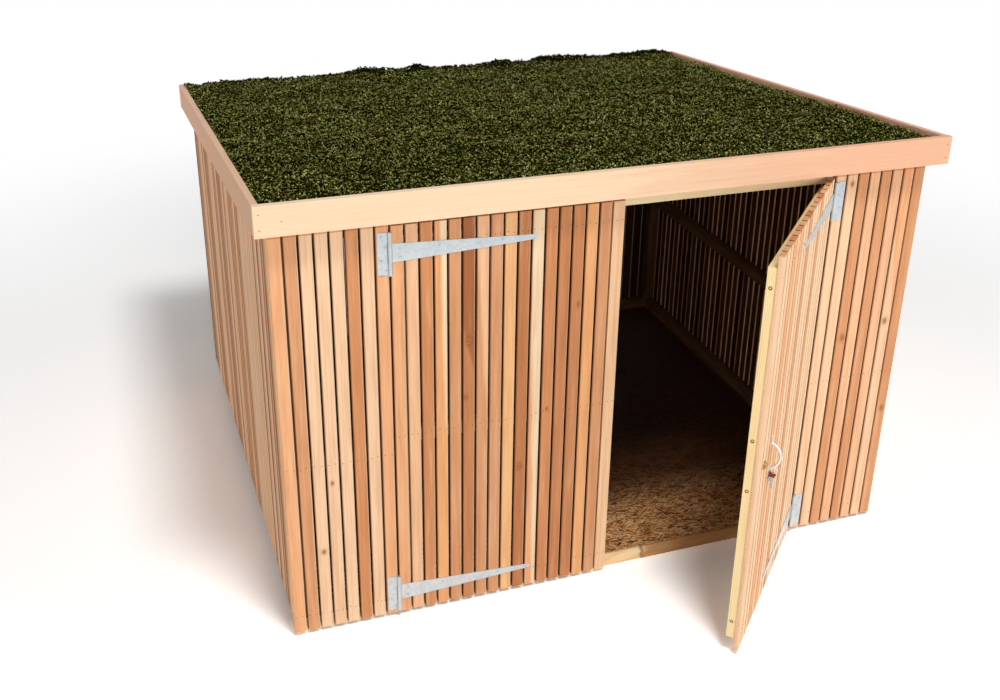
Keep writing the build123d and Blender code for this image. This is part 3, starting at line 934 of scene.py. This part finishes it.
def loop(middle, radius, thick, steps=28, sides=8):
    """A ring in the upright plane across the door: a small circle carried round a large one."""
    big_turn = np.arange(steps) * 2 * math.pi / steps
    small_turn = np.arange(sides) * 2 * math.pi / sides
    big, small = np.meshgrid(big_turn, small_turn, indexing="ij")
    reach = radius + thick * np.cos(small)
    ring = np.stack([thick * np.sin(small), reach * np.cos(big), reach * np.sin(big)], -1)
    points = (np.asarray(middle) + ring).reshape(-1, 3)
    step, turn = np.meshgrid(np.arange(steps), np.arange(sides), indexing="ij")
    after, ahead = (step + 1) % steps, (turn + 1) % sides
    step, after = step * sides, after * sides
    faces = np.stack([step + turn, step + ahead, after + ahead, after + turn], -1)
    return points, faces.reshape(-1, 4).tolist()


def plate(outline, thick, middle, lean):
    """A flat plate in the same upright plane: its outline at both faces and along their rims,
    leaned about its top and hung at a middle point."""
    flat = np.asarray(outline, float)
    lean_cos, lean_sin = math.cos(lean), math.sin(lean)
    flat = flat @ np.array(((lean_cos, lean_sin), (-lean_sin, lean_cos)))
    count = len(flat)
    near = np.column_stack([np.full(count, -thick / 2), flat]) + np.asarray(middle)
    far = near + np.array((thick, 0, 0))
    first = np.arange(count)
    after = (first + 1) % count
    sides = np.stack([first, after, after + count, first + count], -1).tolist()
    return np.concatenate([near, far]), [first[::-1].tolist(), (first + count).tolist()] + sides


def rounded(wide, tall, corner, drop=0.0, steps=6):
    """Outline of a rounded rectangle that hangs a drop below its top middle: quarter circles."""
    arc = np.linspace(0, math.pi / 2, steps)
    turns = np.concatenate([arc + quarter * math.pi / 2 for quarter in range(4)])
    centre_x = np.repeat((1, -1, -1, 1), steps) * (wide / 2 - corner)
    centre_z = np.repeat((1, 1, -1, -1), steps) * (tall / 2 - corner)
    outline = np.column_stack(
        [centre_x + corner * np.cos(turns), centre_z + corner * np.sin(turns)]
    )
    return outline - np.array((0, drop + tall / 2))


ring_middle = (bow_x, ring_y, ring_z - ring_radius + ring_lift)
ring_points, ring_faces = loop(ring_middle, ring_radius, wire)
piece("key_ring", swing(ring_points), ring_faces, bright, "right_door")
leather = Finish("tag_leather", roughness=0.7, gloss=0.2)
pebble = leather.cloud(leather.put("TexCoord", {}).outputs["Object"], 0.0018, 2.0, 4.0)
hide = leather.mix(leather.fade(pebble, 0.35, 0.7), paint(150, 84, 46), paint(98, 50, 28))
leather.finish(hide, None, pebble, 0.3)
tag_outline = rounded(tag_wide, tag_tall, tag_corner)
tag_hung = (bow_x + hung_apart, -0.984, 0.6085)
tag_points, tag_faces = plate(tag_outline, tag_thick, tag_hung, tag_lean)
piece("key_tag", swing(tag_points), tag_faces, leather, "right_door", smooth=False)
key_hung = (bow_x - hung_apart, -0.9765, 0.5945)
bow_outline = rounded(key_bow, key_bow, key_bow_corner)
blade_outline = rounded(blade_wide, blade_long, blade_corner, blade_drop)
bow_points, bow_faces = plate(bow_outline, key_thick, key_hung, key_lean)
blade_points, blade_faces = plate(blade_outline, key_thick, key_hung, key_lean)
key_points = np.concatenate([bow_points, blade_points])
key_faces = bow_faces + [[corner + len(bow_points) for corner in face] for face in blade_faces]
key_points = swing(key_points)
piece("lock_key", key_points, key_faces, zinc_screw, "right_door", smooth=False)


# Studio: a white floor that keeps the shelter's shadow and goes over to plain white away from it,
# an even white surround, broad soft lamps on all four sides, a round one high in front, the camera.
floor_half, floor_drop = 40.0, 0.0005
bounce_white, seen_white = (0.6, 0.6, 0.6, 1), (1.7, 1.7, 1.7, 1)
plain_from, plain_to = 1.8, 5.0
surround_level = 0.08
floor_finish = Finish("studio_floor", roughness=0.9, gloss=0.0)
seen = floor_finish.put("LightPath", {})
rays = floor_finish.sum(
    "MAXIMUM",
    floor_finish.sum("MAXIMUM", seen.outputs["Is Camera Ray"], seen.outputs["Is Glossy Ray"]),
    seen.outputs["Is Transmission Ray"],
)
floor_finish.finish(floor_finish.mix(rays, bounce_white, seen_white))
floor_point = floor_finish.put("TexCoord", {}).outputs["Object"]
away = floor_finish.put("VectorMath", {0: floor_point}, operation="LENGTH").outputs["Value"]
plain = floor_finish.sum("MULTIPLY", floor_finish.fade(away, plain_from, plain_to), rays)
white = floor_finish.put("Emission", {"Strength": 1.0}).outputs[0]
floor_mix = floor_finish.put("MixShader", {0: plain, 1: floor_finish.shader.outputs[0], 2: white})
floor_output = floor_finish.tree.nodes["Material Output"]
floor_finish.tree.links.new(floor_mix.outputs[0], floor_output.inputs["Surface"])
floor_mesh = bpy.data.meshes.new("studio_floor")
floor_corners = [
    (across * floor_half, back * floor_half, -floor_drop)
    for across, back in ((-1, -1), (1, -1), (1, 1), (-1, 1))
]
floor_mesh.from_pydata(floor_corners, [], [(0, 1, 2, 3)])
floor_mesh.materials.append(floor_finish.material)
studio_floor = bpy.data.objects.new("studio_floor", floor_mesh)
bpy.context.scene.collection.objects.link(studio_floor)

surround = bpy.data.worlds.new("studio_surround")
surround.use_nodes = True
bpy.context.scene.world = surround
sky_nodes, sky_links = surround.node_tree.nodes, surround.node_tree.links
background = sky_nodes["Background"]
background.inputs["Color"].default_value = (1, 1, 1, 1)
path = sky_nodes.new("ShaderNodeLightPath")
either, any_ray, level = (sky_nodes.new("ShaderNodeMath") for step in range(3))
either.operation = any_ray.operation = "MAXIMUM"
level.operation = "MULTIPLY_ADD"
level.inputs[1].default_value = 1 - surround_level
level.inputs[2].default_value = surround_level
sky_links.new(path.outputs["Is Camera Ray"], either.inputs[0])
sky_links.new(path.outputs["Is Glossy Ray"], either.inputs[1])
sky_links.new(either.outputs[0], any_ray.inputs[0])
sky_links.new(path.outputs["Is Transmission Ray"], any_ray.inputs[1])
sky_links.new(any_ray.outputs[0], level.inputs[0])
sky_links.new(level.outputs[0], background.inputs["Strength"])

lamps = (
    ("front_lamp", 1.47, 24, 80, 0),
    ("right_lamp", 1.2, 24, 84, 68),
    ("left_lamp", 1.65, 40, 87, -80),
    ("back_lamp", 0.7, 40, 82, 180),
)
for lamp_name, strength, spread, tip, turn in lamps:
    lamp_data = bpy.data.lights.new(lamp_name, "SUN")
    lamp_data.energy = strength
    lamp_data.angle = math.radians(spread)
    lamp = bpy.data.objects.new(lamp_name, lamp_data)
    lamp.rotation_euler = (math.radians(tip), 0, math.radians(turn))
    bpy.context.scene.collection.objects.link(lamp)
high_data = bpy.data.lights.new("high_lamp", "POINT")
high_data.energy = 1150
high_data.shadow_soft_size = 0.85
high_lamp = bpy.data.objects.new("high_lamp", high_data)
high_lamp.location = (0.1, -4.1, 8.0)
bpy.context.scene.collection.objects.link(high_lamp)

camera_data = bpy.data.cameras.new("camera")
camera_data.sensor_width = 36.0
camera_data.lens = 43.9594
camera_data.shift_x = -0.02251
camera_data.shift_y = -0.04092
camera_data.clip_end = 200.0
camera = bpy.data.objects.new("camera", camera_data)
camera.location = (-1.5357, -4.1566, 2.6675)
camera.rotation_euler = tuple(math.radians(angle) for angle in (64.8753, -1.1698, -20.1046))
bpy.context.scene.collection.objects.link(camera)
bpy.context.scene.camera = camera
bpy.context.scene.view_settings.view_transform = "Standard"
